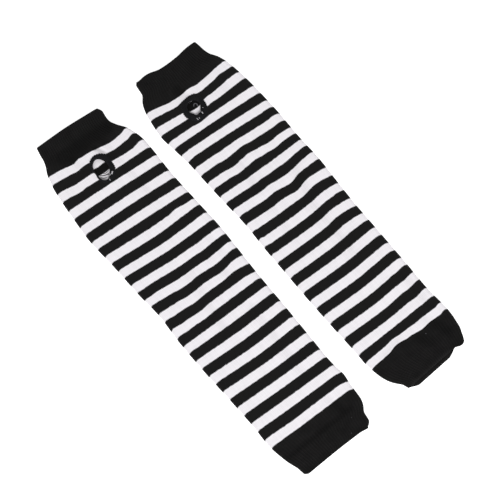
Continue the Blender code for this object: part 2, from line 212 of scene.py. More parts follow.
RIGHT_RIPPLES = table("number x reach reach_x rise", (
    (-4, -16, 1.8, 10, 1.5),
    (-4, 20, 1.8, 10, 0.6),
    (0, -18, 1.4, 12, -0.8),
    (0.3, 0, 1.6, 8, 1.3),
    (1, -7, 0.9, 10, 1.2),
    (2.2, -7, 0.9, 10, -1),
    (1, 27, 1.6, 8, 0.7),
    (1.2, 32, 1, 8, -0.9),
    (1.6, 38, 1.4, 6, -0.8),
    (2.5, 7, 0.9, 5, 0.9),
    (4, -10, 0.9, 8, -0.8),
    (6.6, -36, 1.2, 7, -0.8),
    (8, 36, 2, 9, 0.8),
    (10, -14, 3, 9, -0.9),
    (10, 2, 3, 8, 0.9),
    (10.4, 20, 1.2, 9, -1.2),
    (13.6, 19, 1.4, 11, -1),
    (14.8, -3, 3, 9, 0.9),
    (15.4, 11, 2.4, 9, -1.3),
    (16.5, 23, 3, 9, 0.8),
    (17, 38, 3, 8, -1.4),
    (18.5, -37, 3.5, 6, 0.8),
    (20.8, 20, 3.4, 10, 0.8),
    (21, 37, 3, 8, -1.3),
    (27, 38, 4, 7, -0.9),
    (30.2, 27, 1.7, 11, -0.9),
    (32, 25, 1.2, 9, -0.8),
    (35, -11, 1.8, 10, 1.5),
    (35, 11, 1.5, 9, -1.1),
    (34.6, 36, 1.2, 7, 1.8),
    (39, 27, 1.6, 6.5, -2.3),
))

# How far the courses of the underside hang back in their middle, and how far they skew: up to the
# right of it and down to the left.
LEFT_BOWS = table("number drop skew", (
    (-4, 0, 0),
    (0, 3, 2),
    (1, 3.5, 5.5),
    (2, 4.3, 1),
    (3, 3.8, 0),
    (8, 2.5, 0),
    (30, 1, 0),
    (39, 0, 0),
))
RIGHT_BOWS = table("number drop skew", (
    (-4, 0, 0),
    (0, 1.2, 0),
    (8, 1, 0),
    (30, 2, 1.5),
    (39, 0, 0),
))

# Soft troughs in a layer, and, where the depth is negative, soft ridges.
CREASE = "x_from y_from x_to y_to half_width depth"
LEFT_CREASES = table(CREASE, (
    (-16, 148.8, 25, 144.5, 7.5, 2),
    (8.2, 138, 11.6, 128.5, 2.9, 2.2),
    (-10, 143, -8, 133, 5, 0.9),
    (17, 137, 17.5, 127, 4.5, 0.9),
    (17, 120, 18.5, 83, 4.5, 0.9),
    (31, 36, 33, 8, 5.5, 0.6),
    (22, 5, 24, -6, 6, 1),
    (2, 18, -8, -33, 6.5, 0.9),
    (21, -34, 15, -98, 7.5, 0.9),
    (18, -121, 22, -141, 5, 0.6),
    (-37, -141.2, 27, -143.6, 3.2, 0.8),
    (-24, 40, -27, -30, 9, -0.3),
    (8, 90, 6, 40, 8, -0.3),
    (-30, -152, 26, -155, 5, -0.4),
))
LEFT_UNDER_CREASES = table(CREASE, (
    (-3.5, 127.8, 4, 126.3, 2.2, 0.5),
    (-22, 120, -12, 60, 7, 0.4),
    (14, 70, 22, 10, 7, 0.4),
    (-16, -10, -8, -70, 7, 0.4),
    (10, -80, 20, -120, 6, 0.4),
))
RIGHT_CREASES = table(CREASE, (
    (-7, 136, -5, 127, 6, 1.2),
    (23, 118, 24, 107, 5, 0.9),
    (-7.5, 69, -10, 38, 5, 1),
    (24, 33, 14, 9, 7.5, 1),
    (13, 4, 11.5, -45, 7.5, 1),
    (-12, 22, -16, -19, 7.5, 0.8),
    (30.5, -86, 29, -117, 4.5, 1.1),
    (6, -131, 10, -139, 7, 0.7),
    (20, -121, 26, -143, 6, 0.7),
    (-22, -122, -9, -120, 5, 0.6),
    (-24, 90, -25, 40, 9, -0.3),
    (4, -60, 2, -110, 9, -0.3),
    (-22, -154, 16, -154, 4, -0.5),
))
RIGHT_UNDER_CREASES = table(CREASE, (
    (18, 110, 10, 60, 7, 0.4),
    (-18, 60, -10, 10, 7, 0.4),
    (12, -10, 20, -60, 7, 0.4),
    (-14, -70, -6, -115, 6, 0.4),
))

# The middle of each thumb hole, and how far from it the edging's inner and outer rims lie,
# at turns in degrees from the right-hand side.
LEFT_HOLE = (1.5, 122.4)
LEFT_EDGING = table("turn inner outer", (
    (0, 5.3, 9.6),
    (33, 5.8, 11.6),
    (62, 7.3, 12),
    (88, 8.3, 11.8),
    (115, 7.5, 10.6),
    (145, 6.2, 8.2),
    (180, 5.3, 6.4),
    (215, 6.6, 8.6),
    (240, 8.5, 10.8),
    (260, 8.9, 11.4),
    (285, 7.2, 11.6),
    (318, 5.8, 10.7),
))
RIGHT_HOLE = (-5.8, 117.3)
RIGHT_EDGING = table("turn inner outer", (
    (0, 4.9, 9.2),
    (45, 5.1, 10.6),
    (72, 5.1, 9.8),
    (100, 5.1, 9.8),
    (130, 5.3, 11.2),
    (160, 5, 9.9),
    (190, 4.9, 10.1),
    (215, 4.8, 10.4),
    (240, 5.9, 11),
    (268, 5.4, 11.4),
    (290, 5.6, 11.2),
    (318, 4.6, 10.2),
))

# At the forearm the lower layer reaches a little past the upper one, which lies down on it.
# Its last column is how strong a painted highlight lies along the upper lip at the mouth.
LEFT_ARM_MOUTH, RIGHT_ARM_MOUTH = table("from_x ease_from to_x ease_to overhang lift pale", (
    (-31, 9, 29, 9, 0.3, -0.3, 0.1),
    (-27.5, 10, 24, 12, 3.7, -0.7, 1.1),
))

GLOVE = "side place turn outline courses ripples bows creases under_creases hole edging arm_mouth"
GLOVES = table(GLOVE, (
    ("left", (-46.45, -1.15), math.radians(-0.5), LEFT_OUTLINE, LEFT_COURSES, LEFT_RIPPLES,
     LEFT_BOWS, LEFT_CREASES, LEFT_UNDER_CREASES, LEFT_HOLE, LEFT_EDGING, LEFT_ARM_MOUTH),
    ("right", (48.25, -7.25), math.radians(0.5), RIGHT_OUTLINE, RIGHT_COURSES, RIGHT_RIPPLES,
     RIGHT_BOWS, RIGHT_CREASES, RIGHT_UNDER_CREASES, RIGHT_HOLE, RIGHT_EDGING, RIGHT_ARM_MOUTH),
))

WHITE_YARN = (0.86, 0.835, 0.87)
BLACK_YARN = (0.0058, 0.0055, 0.0055)
SHADED_BLACK_YARN = (0.0022, 0.0020, 0.0020)
STITCH_RELIEF = 0.0003
STRIPE_BLUR = 0.018


def smoothstep(value):
    """Ease from 0 to 1, held flat outside that span."""
    value = np.clip(value, 0.0, 1.0)
    return value * value * (3.0 - 2.0 * value)


def read_curve(rows, key, column, at):
    """A column of a table as a smooth curve through its rows."""
    pairs = sorted((getattr(row, key), getattr(row, column)) for row in rows)
    knots, values = np.array(pairs, float).T
    slopes = np.gradient(values, knots)
    at = np.clip(at, knots[0], knots[-1])
    cell = np.clip(np.searchsorted(knots, at) - 1, 0, len(knots) - 2)
    span = knots[cell + 1] - knots[cell]
    share = (at - knots[cell]) / span
    rest = 1.0 - share
    start = (1.0 + 2.0 * share) * values[cell] + share * span * slopes[cell]
    end = (1.0 + 2.0 * rest) * values[cell + 1] - rest * span * slopes[cell + 1]
    return rest * rest * start + share * share * end


def bump_shape(off):
    """A soft round bump: 1 in its middle, 0 from off = 1 outwards."""
    return np.where(off < 1.0, (1.0 - off * off) ** 2, 0.0)


def course_line(glove, number, x):
    """Where a course of the upper layer lies along the glove at x."""
    bend = (np.hypot(x, COURSE_BEND) - COURSE_BEND) / 2.0
    y = read_curve(glove.courses, "number", "y", number)
    y = y - (x / 2.0 - bend) * read_curve(glove.courses, "number", "tilt_left", number)
    y = y - (x / 2.0 + bend) * read_curve(glove.courses, "number", "tilt_right", number)
    for ripple in glove.ripples:
        off = np.hypot((x - ripple.x) / ripple.reach_x, (number - ripple.number) / ripple.reach)
        y = y + ripple.rise * bump_shape(off)
    return y


def fold_sag(number):
    """How far a course sags from the top of a fold to its underside; not at the mouths."""
    from_hand_end = number + CUFF_STRIPES
    from_arm_end = STRIPES + CUFF_STRIPES - number
    return FOLD_SAG * smoothstep(from_hand_end / 2.0) * smoothstep(from_arm_end / 2.0)


def fold_reach(glove, number):
    """How far each course reaches, out to the left fold and to the right one."""
    reaches = []
    sag_there = fold_sag(number) * (SAG_ON_TOP + (1.0 - SAG_ON_TOP) / 2.0)
    for column in ("left", "right"):
        reach = 0.0 * number
        for _ in range(5):
            y = course_line(glove, number, reach) - sag_there
            reach = read_curve(glove.outline, "y", column, y)
        reaches.append(reach)
    return reaches


def crease_pull(creases, x, y):
    """How strongly the creases of one layer pull at a point."""
    depth = 0.0 * x
    for crease in creases:
        run_x = crease.x_to - crease.x_from
        run_y = crease.y_to - crease.y_from
        length = math.hypot(run_x, run_y)
        along = ((x - crease.x_from) * run_x + (y - crease.y_from) * run_y) / length
        aside = ((x - crease.x_from) * run_y - (y - crease.y_from) * run_x) / length
        past_end = np.maximum(np.maximum(-along, along - length), 0.0)
        depth = depth + crease.depth * bump_shape(np.hypot(aside, past_end) / crease.half_width)
    return depth


def crease_depth(creases, x, y):
    """How deep the cloth lies in the creases: no deeper than the layer below lets it."""
    return DEEPEST_CREASE * np.tanh(crease_pull(creases, x, y) / DEEPEST_CREASE)


def uneven_lie(x, y):
    """The slight unevenness with which knit lies, between -1 and 1."""
    broad = np.sin(0.19 * x + 0.6 * np.sin(0.071 * y)) * np.sin(0.113 * y + 0.8 * np.sin(0.09 * x))
    fine = np.sin(0.41 * x - 0.17 * y + 1.3) * np.sin(0.33 * y + 0.11 * x)
    return 0.6 * broad + 0.4 * fine


Ring = namedtuple("Ring", "across out up around")


def ring_round(under_steps, fold_steps, top_steps):
    """One loop round a flattened tube: the underside, the right fold, the top, the left fold."""
    turn = math.pi * np.arange(1, fold_steps) / fold_steps
    ahead = np.ones(fold_steps - 1)
    across = np.concatenate((
        np.linspace(-1.0, 1.0, under_steps + 1), ahead, np.linspace(1.0, -1.0, top_steps + 1), -ahead,
    ))
    angle = np.concatenate((
        np.full(under_steps + 1, -math.pi / 2.0), turn - math.pi / 2.0,
        np.full(top_steps + 1, math.pi / 2.0), turn + math.pi / 2.0,
    ))
    fold_share = 0.5 - FLAT_SHARE
    around = np.concatenate((
        FLAT_SHARE * np.arange(under_steps) / under_steps,
        FLAT_SHARE + fold_share * np.arange(fold_steps) / fold_steps,
        0.5 + FLAT_SHARE * np.arange(top_steps) / top_steps,
        0.5 + FLAT_SHARE + fold_share * np.arange(fold_steps + 1) / fold_steps,
    ))
    return Ring(across, np.cos(angle), np.sin(angle), around)


def tube_skin(glove, ring, numbers, heights, insets):
    """One skin of a flattened tube, rows by columns: inset 0 is its outside."""
    numbers = numbers[:, None] + 0.0 * ring.across
    insets = insets[:, None]
    left, right = fold_reach(glove, numbers)
    radius = heights[:, None] / 2.0
    flat_half = (right - left) / 2.0 - radius
    x = (left + right) / 2.0 + ring.across * flat_half + radius * ring.out
    margin = np.minimum(x - left, right - x)
    turned_under = (1.0 - ring.up) / 2.0
    y = course_line(glove, numbers, x)
    sag = SAG_ON_TOP * (1.0 - smoothstep(margin / FOLD_EASE)) + (1.0 - SAG_ON_TOP) * turned_under
    y = y - fold_sag(numbers) * sag
    bow = read_curve(glove.bows, "number", "drop", numbers)
    bow = bow - read_curve(glove.bows, "number", "skew", numbers) * ring.across
    y = y - bow * turned_under ** 2 * (1.0 - ring.across ** 2)
    inward = smoothstep((margin - radius) / CREASE_EASE)
    z = radius + (radius - insets) * ring.up
    dip = crease_depth(glove.creases, x, y) + UNEVENNESS * uneven_lie(x, y)
    z = z - dip * inward * np.maximum(ring.up, 0.0)
    z = z + crease_depth(glove.under_creases, x, y) * inward * np.maximum(-ring.up, 0.0)
    return np.stack((x - insets * ring.out, y, z), axis=-1)


def to_pair(glove, points):
    """From the glove's own millimetres to the pair's metres."""
    cos_turn = math.cos(glove.turn)
    sin_turn = math.sin(glove.turn)
    x = points[..., 0] * cos_turn - points[..., 1] * sin_turn + glove.place[0]
    y = points[..., 0] * sin_turn + points[..., 1] * cos_turn + glove.place[1]
    return np.stack((x, y, points[..., 2]), axis=-1) * MM


def shell_mesh(name, glove, outer, inner, cut, u_steps, v_steps):
    """A closed cloth shell from its outer and inner skins, with rims at its ends and round a cut.

    The skins are rows by columns of points, from the hand end on. cut marks the faces left out.
    """
    rows, columns = outer.shape[:2]
    points = to_pair(glove, np.concatenate((outer.reshape(-1, 3), inner.reshape(-1, 3))))
    inner_start = rows * columns
    gone = np.pad(cut, ((1, 1), (0, 0)), constant_values=True)
    faces = []
    uvs = []

    def add_face(corners, uv_corners):
        faces.append(corners)
        uvs.extend(uv_corners)

    for j in range(rows - 1):
        for i in range(columns):
            if cut[j, i]:
                continue
            k = (i + 1) % columns
            corners = (j * columns + i, j * columns + k, (j + 1) * columns + k, (j + 1) * columns + i)
            u = u_steps[i:i + 2]
            v = v_steps[j:j + 2]
            uv_corners = ((u[0], v[0]), (u[1], v[0]), (u[1], v[1]), (u[0], v[1]))
            add_face(corners, uv_corners)
            add_face(tuple(inner_start + c for c in reversed(corners)), uv_corners[::-1])
            beyond = (gone[j, i], gone[j + 1, k], gone[j + 2, i], gone[j + 1, i - 1])
            for side in range(4):
                if beyond[side]:
                    following = (side + 1) % 4
                    a, b = corners[side], corners[following]
                    uv_a, uv_b = uv_corners[side], uv_corners[following]
                    add_face((b, a, inner_start + a, inner_start + b), (uv_b, uv_a, uv_a, uv_b))

    mesh = bpy.data.meshes.new(name)
    mesh.from_pydata(points.tolist(), [], faces)
    layer = mesh.uv_layers.new(name="knit")
    layer.data.foreach_set("uv", np.array(uvs, np.float32).ravel())
    on_inside = [min(face) >= inner_start for face in faces]
    mesh.polygons.foreach_set("material_index", np.array(on_inside, np.int32))
    return mesh


def set_points(mesh, name, values):
    """Give a mesh a named value for each point, or a vector where the last axis holds three."""
    kind, field = ("FLOAT_VECTOR", "vector") if values.shape[-1] == 3 else ("FLOAT", "value")
    attribute = mesh.attributes.new(name, kind, "POINT")
    attribute.data.foreach_set(field, values.astype(np.float32).ravel())


def drop_loose_points(mesh):
    """Remove the points that no face uses, where the cloth is cut away."""
    working = bmesh.new()
    working.from_mesh(mesh)
    loose = [vertex for vertex in working.verts if not vertex.link_faces]
    bmesh.ops.delete(working, geom=loose, context="VERTS")
    working.to_mesh(mesh)
    working.free()


def put_in_scene(name, data):
    """A new object at the origin."""
    placed = bpy.data.objects.new(name, data)
    bpy.context.collection.objects.link(placed)
    return placed


def add_piece(name, mesh):
    """Put a finished mesh in the scene as a smooth piece."""
    mesh.shade_smooth()
    mesh.set_sharp_from_angle(angle=math.radians(50.0))
    return put_in_scene(name, mesh)


def feed(tree, socket, value):
    """Link a socket to another node's output, or set it to a constant."""
    if isinstance(value, bpy.types.NodeSocket):
        tree.links.new(value, socket)
    else:
        socket.default_value = value


def add_node(tree, kind, inputs):
    """One node in a tree, with the named inputs fed."""
    node = tree.nodes.new(kind)
    for label, value in inputs.items():
        feed(tree, node.inputs[label], value)
    return node


def calc(tree, operation, first, second=0.0, third=0.0):
    """One math node in a tree, on values or other nodes' outputs."""
    node = tree.nodes.new("ShaderNodeMath")
    node.operation = operation
    for socket, value in zip(node.inputs, (first, second, third)):
        feed(tree, socket, value)
    return node.outputs["Value"]


def noise_on_cloth(tree, scale, detail):
    """Even noise through the cloth, in metres of the pair's own frame."""
    place = tree.nodes.new("ShaderNodeTexCoord").outputs["Object"]
    noise = {"Scale": scale, "Detail": detail, "Vector": place}
    return add_node(tree, "ShaderNodeTexNoise", noise).outputs["Fac"]


def knit_places(tree):
    """The wale and the stripe number at a point of the cloth, from its knit map."""
    uv = tree.nodes.new("ShaderNodeUVMap")
    uv.uv_map = "knit"
    parts = add_node(tree, "ShaderNodeSeparateXYZ", {"Vector": uv.outputs["UV"]})
    return parts.outputs["X"], parts.outputs["Y"]


def uneven_rows(tree, count):
    """A chance value between 0 and 1 for each wale or course, as yarn is never quite even."""
    chance = tree.nodes.new("ShaderNodeTexWhiteNoise")
    chance.noise_dimensions = "1D"
    feed(tree, chance.inputs["W"], calc(tree, "FLOOR", count))
    return chance.outputs["Value"]


def mix_colours(tree, share, first, second):
    """A colour between two others, each a node's output or red, green and blue.

    The Mix node's colour sockets are 6 and 7, and 2 on its output side.
    """
    mix = tree.nodes.new("ShaderNodeMix")
    mix.data_type = "RGBA"
    feed(tree, mix.inputs["Factor"], share)
    for socket, colour in ((mix.inputs[6], first), (mix.inputs[7], second)):
        feed(tree, socket, (*colour, 1.0) if isinstance(colour, tuple) else colour)
    return mix.outputs[2]


def scaled(colour, factor):
    """A yarn's colour made darker or brighter."""
    return tuple(min(factor * part, 1.0) for part in colour)


def painted_trough_shading(tree, darkening):
    """Painted shade in the cloth's troughs, and painted light where the trough value is negative: a
    factor for the colour, 1 outside them.
    """
    trough = tree.nodes.new("ShaderNodeAttribute")
    trough.attribute_name = "trough"
    return calc(tree, "MULTIPLY_ADD", trough.outputs["Fac"], -darkening, 1.0)


def new_material(name):
    """A new material, with its tree and its shader."""
    material = bpy.data.materials.new(name)
    material.use_nodes = True
    return material, material.node_tree, material.node_tree.nodes["Principled BSDF"]


def finish_yarn(tree, shader, colour, height, strength, roughness, specular, sheen):
    """Give a shader its colour, its fine relief, and the nap of the yarn: sheen and its roughness."""
    relief = {"Strength": strength, "Distance": STITCH_RELIEF, "Height": height}
    feed(tree, shader.inputs["Base Color"], colour)
    feed(tree, shader.inputs["Normal"], add_node(tree, "ShaderNodeBump", relief).outputs["Normal"])
    feed(tree, shader.inputs["Roughness"], roughness)
    shader.inputs["Specular IOR Level"].default_value = specular
    shader.inputs["Sheen Weight"].default_value = sheen[0]
    shader.inputs["Sheen Roughness"].default_value = sheen[1]


def jersey_material(name, black_from, slant, black_yarn):
    """Fine striped jersey. black_from says how wide the black bands show, from 0.5 for even ones.

    slant gives the two legs of each stitch their V on the right side; without it the yarn lies
    in the flat rows of the wrong side.
    """
    material, tree, shader = new_material(name)
    wale, stripe = knit_places(tree)
    to_side = calc(tree, "MULTIPLY", calc(tree, "PINGPONG", wale, 0.5), 2.0)
    stray = calc(tree, "SUBTRACT", noise_on_cloth(tree, scale=900.0, detail=2.0), 0.5)

    zigzag = calc(tree, "MULTIPLY_ADD", to_side, 0.07, -0.035)
    wander = calc(tree, "SUBTRACT", noise_on_cloth(tree, scale=330.0, detail=1.0), 0.5)
    edge = calc(tree, "ADD", calc(tree, "MULTIPLY_ADD", stray, 0.06, zigzag), stripe)
    edge = calc(tree, "MULTIPLY_ADD", wander, 0.09, edge)
    into_black = calc(tree, "PINGPONG", calc(tree, "SUBTRACT", edge, 0.5), 1.0)
    fade = add_node(tree, "ShaderNodeMapRange", {
        "Value": into_black,
        "From Min": black_from - STRIPE_BLUR, "From Max": black_from + STRIPE_BLUR,
    })

    course = calc(tree, "MULTIPLY", stripe, COURSES_PER_STRIPE)
    along_leg = calc(tree, "FRACT", calc(tree, "MULTIPLY_ADD", to_side, slant, course))
    strand = calc(tree, "SINE", calc(tree, "MULTIPLY", along_leg, math.pi))
    across_leg = calc(tree, "SINE", calc(tree, "MULTIPLY", to_side, math.pi))
    legs = calc(tree, "MULTIPLY", calc(tree, "POWER", across_leg, 0.5), strand)
    height = calc(tree, "MULTIPLY_ADD", stray, 0.5, legs)

    patches = noise_on_cloth(tree, scale=60.0, detail=3.0)
    # The stitch legs are painted lighter than the gaps between them: painted shade of the knit's
    # relief, over the yarn's random tone in patches, wales and courses.
    shade = calc(tree, "MULTIPLY_ADD", legs, 0.20, calc(tree, "MULTIPLY_ADD", patches, 0.06, 0.79))
    shade = calc(tree, "MULTIPLY_ADD", uneven_rows(tree, wale), 0.05, shade)
    shade = calc(tree, "MULTIPLY_ADD", uneven_rows(tree, course), 0.03, shade)
    # Painted shade: the colour darkens in the deeper creases.
    shade = calc(tree, "MULTIPLY", shade, painted_trough_shading(tree, 0.07))
    white = mix_colours(tree, shade, (0.0, 0.0, 0.0), WHITE_YARN)
    # The black stitch legs are painted lighter and their gaps darker too: painted light and shade of
    # the relief.
    black = mix_colours(tree, legs, scaled(black_yarn, 0.6), scaled(black_yarn, 1.3))
    colour = mix_colours(tree, fade.outputs["Result"], white, black)
    roughness = calc(tree, "MULTIPLY_ADD", stray, 0.15, 0.9)
    finish_yarn(tree, shader, colour, height, 0.6, roughness, specular=0.15, sheen=(0.03, 0.5))
    return material


right_side = jersey_material("striped_jersey_right_side", 0.466, 0.6, BLACK_YARN)
# The wrong side's black is darker than the right side's: painted shade, for the under layer seen in
# the shade inside the holes and mouths.
wrong_side = jersey_material("striped_jersey_wrong_side", 0.62, 0.0, SHADED_BLACK_YARN)


def edging_rims(glove, turn):
    """How far out the edging's inner and outer rims lie at turns in degrees, as closed curves."""
    laps = [row._replace(turn=row.turn + lap) for lap in (-360, 0, 360) for row in glove.edging]
    return [read_curve(laps, "turn", column, turn) for column in ("inner", "outer")]


def hole_reach(glove, x, y):
    """How far out a point lies from the thumb hole's middle: 1 at the cut edge of the jersey."""
    over = x - glove.hole[0]
    along = y - glove.hole[1]
    inner, outer = edging_rims(glove, np.degrees(np.arctan2(along, over)))
    return np.hypot(over, along) / (inner + outer) * 2.0


def cut_thumb_hole(glove, ring, outer, inner):
    """Mark the upper layer's faces inside the hole, and draw its edge onto a true oval."""
    following = np.roll(outer, -1, axis=1)
    centres = (outer[:-1] + outer[1:] + following[:-1] + following[1:]) / 4.0
    on_top = (ring.up > 0.99) & (np.roll(ring.up, -1) > 0.99)
    cut = (hole_reach(glove, centres[..., 0], centres[..., 1]) < 1.0) & on_top
    padded = np.pad(cut, ((1, 1), (0, 0)))
    turned = np.roll(padded, 1, axis=1)
    beside = np.stack((padded[:-1], padded[1:], turned[:-1], turned[1:]))
    edge = beside.any(axis=0) & ~beside.all(axis=0)
    for skin in (outer, inner):
        reach = hole_reach(glove, skin[edge, 0], skin[edge, 1])[:, None]
        skin[edge, :2] = glove.hole + (skin[edge, :2] - glove.hole) / reach
    return cut


jersey_ring = ring_round(under_steps=44, fold_steps=8, top_steps=84)
jersey_numbers = np.arange(0, STRIPES * ROWS_PER_STRIPE + 1) / ROWS_PER_STRIPE
for glove in GLOVES:
    tube_name = glove.side + "_striped_tube"
    heights = np.full(len(jersey_numbers), JERSEY_HEIGHT)
    outside = tube_skin(glove, jersey_ring, jersey_numbers, heights, 0.0 * heights)
    inside = tube_skin(glove, jersey_ring, jersey_numbers, heights, 0.0 * heights + CLOTH_WALL)
    cut_faces = cut_thumb_hole(glove, jersey_ring, outside, inside)
    wales = jersey_ring.around * WALES_ROUND
    jersey_mesh = shell_mesh(tube_name, glove, outside, inside, cut_faces, wales, jersey_numbers)
    # Painted shade: how much the deeper creases of the upper layer darken its colour, kept on its
    # points for the material.
    trough = np.maximum(crease_pull(glove.creases, outside[..., 0], outside[..., 1]), 0.0) ** 2
    trough = trough * np.maximum(jersey_ring.up, 0.0)
    set_points(jersey_mesh, "trough", np.stack((trough, 0.0 * trough)))
    drop_loose_points(jersey_mesh)
    jersey_mesh.materials.append(right_side)
    jersey_mesh.materials.append(wrong_side)
    tube = add_piece(tube_name, jersey_mesh)
    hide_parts(glove.side + "_hand_tube", glove.side + "_forearm_tube")
    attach(tube, "root")


# Ribbed cuffs
# At both ends the tube goes over into a black cuff in one-by-one rib, knitted on in the same
# round. The rib draws in, stands in fine ridges on both faces, and ends in a soft rounded lip.

RIBS_PER_LAYER = 30
RIBS_PER_FOLD = 4
STEPS_PER_RIB = 6
RIB_HEIGHT = 4.4
RIB_RELIEF = 0.5
CREST_WIDTH = 1.6
RIB_FADE = 12.0
RIB_SHARE_AT_LIP = 0.25
RIB_COURSES = 28
CUFF_ROWS = 20
LIP_TURNS = tuple(math.radians(turn) for turn in (76.0, 50.0, 24.0))
STRIPE_LENGTH = 7.0
RIB_YARN = (0.0045, 0.0042, 0.0042)

# Shares of a cuff's length from its seam: where its layers start to part, where its ribs start to
# flatten, and where the painted highlight along its lip starts.
PARTING_FROM = 0.6
FLAT_FROM = 0.93
PAINTED_HIGHLIGHT_FROM = 0.9


def ease_from(start, share):
    """Ease from 0 at the start to 1 at the cuff's mouth."""
    return smoothstep((share - start) / (1.0 - start))


def mouth_share(mouth, x):
    """How far the two layers part at x: 1 in the middle of the mouth, 0 at its folds."""
    share = smoothstep((x - mouth.from_x) / mouth.ease_from)
    return share * smoothstep((mouth.to_x - x) / mouth.ease_to)


def cuff_skins(glove, ring, seam_number, mouth_number):
    """Both skins of a cuff from the hand end on, with the lip at its mouth rounded.

    Beside them: how strongly the ribs stand at each row, and each row's course.
    """
    shares = 1.0 - np.linspace(0.0, 1.0, CUFF_ROWS + 1) ** 1.5
    turns = np.array(LIP_TURNS + (0.0,) * (CUFF_ROWS + 1))
    shares = np.concatenate((np.ones(len(LIP_TURNS)), shares))
    numbers = seam_number + shares * (mouth_number - seam_number)
    heights = JERSEY_HEIGHT + (RIB_HEIGHT - JERSEY_HEIGHT) * smoothstep(shares * 3.0)
    lip = CLOTH_WALL / 2.0
    rounding = lip * (1.0 - np.cos(turns))
    arm_end = mouth_number > seam_number
    outwards = -1.0 if arm_end else 1.0
    skins = []
    for insets in (rounding, CLOTH_WALL - rounding):
        points = tube_skin(glove, ring, numbers, heights, insets)
        points[..., 1] += (outwards * lip * (np.sin(turns) - shares ** 4))[:, None]
        if arm_end:
            mouth = glove.arm_mouth
            pull = ease_from(PARTING_FROM, shares)[:, None]
            parted = mouth_share(mouth, points[..., 0])
            points[..., 1] -= pull * mouth.overhang * parted * np.maximum(-ring.up, 0.0)
            points[..., 2] += pull * mouth.lift * parted * np.maximum(ring.up, 0.0)
        skins.append(points)
    lengths = shares * abs(mouth_number - seam_number) * STRIPE_LENGTH
    strength = smoothstep(lengths / RIB_FADE)
    strength = strength * (1.0 - (1.0 - RIB_SHARE_AT_LIP) * ease_from(FLAT_FROM, shares))
    courses = shares * RIB_COURSES
    if arm_end:
        skins = [skin[::-1] for skin in skins]
        strength = strength[::-1]
        courses = courses[::-1]
    return skins[0], skins[1], strength, courses


def new_tree(name, inputs):
    """A Geometry Nodes tree with named inputs, and its input node's outputs."""
    tree = bpy.data.node_groups.new(name, "GeometryNodeTree")
    for label, kind in inputs.items():
        tree.interface.new_socket(label, in_out="INPUT", socket_type="NodeSocket" + kind)
    tree.interface.new_socket("Result", in_out="OUTPUT", socket_type="NodeSocketGeometry")
    return tree, tree.nodes.new("NodeGroupInput").outputs


def end_tree(tree, geometry, yarn):
    """Make all of a tree's geometry real, paint it and hand it out."""
    realize = add_node(tree, "GeometryNodeRealizeInstances", {"Geometry": geometry})
    paint = {"Geometry": realize.outputs["Geometry"], "Material": yarn}
    painted = add_node(tree, "GeometryNodeSetMaterial", paint).outputs["Geometry"]
    add_node(tree, "NodeGroupOutput", {"Result": painted})


def named_value(tree, name, kind):
    """What the mesh says under that name at each point."""
    node = tree.nodes.new("GeometryNodeInputNamedAttribute")
    node.data_type = kind
    node.inputs["Name"].default_value = name
    return node.outputs["Attribute"]


def rib_tree():
    """A tree that sinks the grooves between the ribs of a smooth cuff."""
    tree, given = new_tree("rib_grooves", {
        "Cuff": "Geometry", "Relief": "Float", "Crest Width": "Float", "Yarn": "Material",
    })
    rib = named_value(tree, "rib", "FLOAT")
    to_groove = calc(tree, "MULTIPLY", calc(tree, "PINGPONG", rib, 0.5), 2.0)
    depth = calc(tree, "POWER", to_groove, given["Crest Width"])
    sink = calc(tree, "MULTIPLY", calc(tree, "MULTIPLY", depth, given["Relief"]), -1.0)
    offset = tree.nodes.new("ShaderNodeVectorMath")
    offset.operation = "SCALE"
    feed(tree, offset.inputs["Vector"], named_value(tree, "outward", "FLOAT_VECTOR"))
    feed(tree, offset.inputs["Scale"], sink)
    moved = {"Geometry": given["Cuff"], "Offset": offset.outputs["Vector"]}
    move = add_node(tree, "GeometryNodeSetPosition", moved)
    end_tree(tree, move.outputs["Geometry"], given["Yarn"])
    return tree


def run_tree(piece, tree, settings):
    """Run a tree on a piece with named settings, and keep the result as its plain mesh."""
    modifier = piece.modifiers.new(tree.name, "NODES")
    modifier.node_group = tree
    for item in tree.interface.items_tree:
        if item.item_type == "SOCKET" and item.in_out == "INPUT" and item.name in settings:
            modifier[item.identifier] = settings[item.name]
    bpy.context.view_layer.update()
    ready = piece.evaluated_get(bpy.context.evaluated_depsgraph_get())
    mesh = bpy.data.meshes.new_from_object(ready)
    piece.modifiers.remove(modifier)
    piece.data = mesh


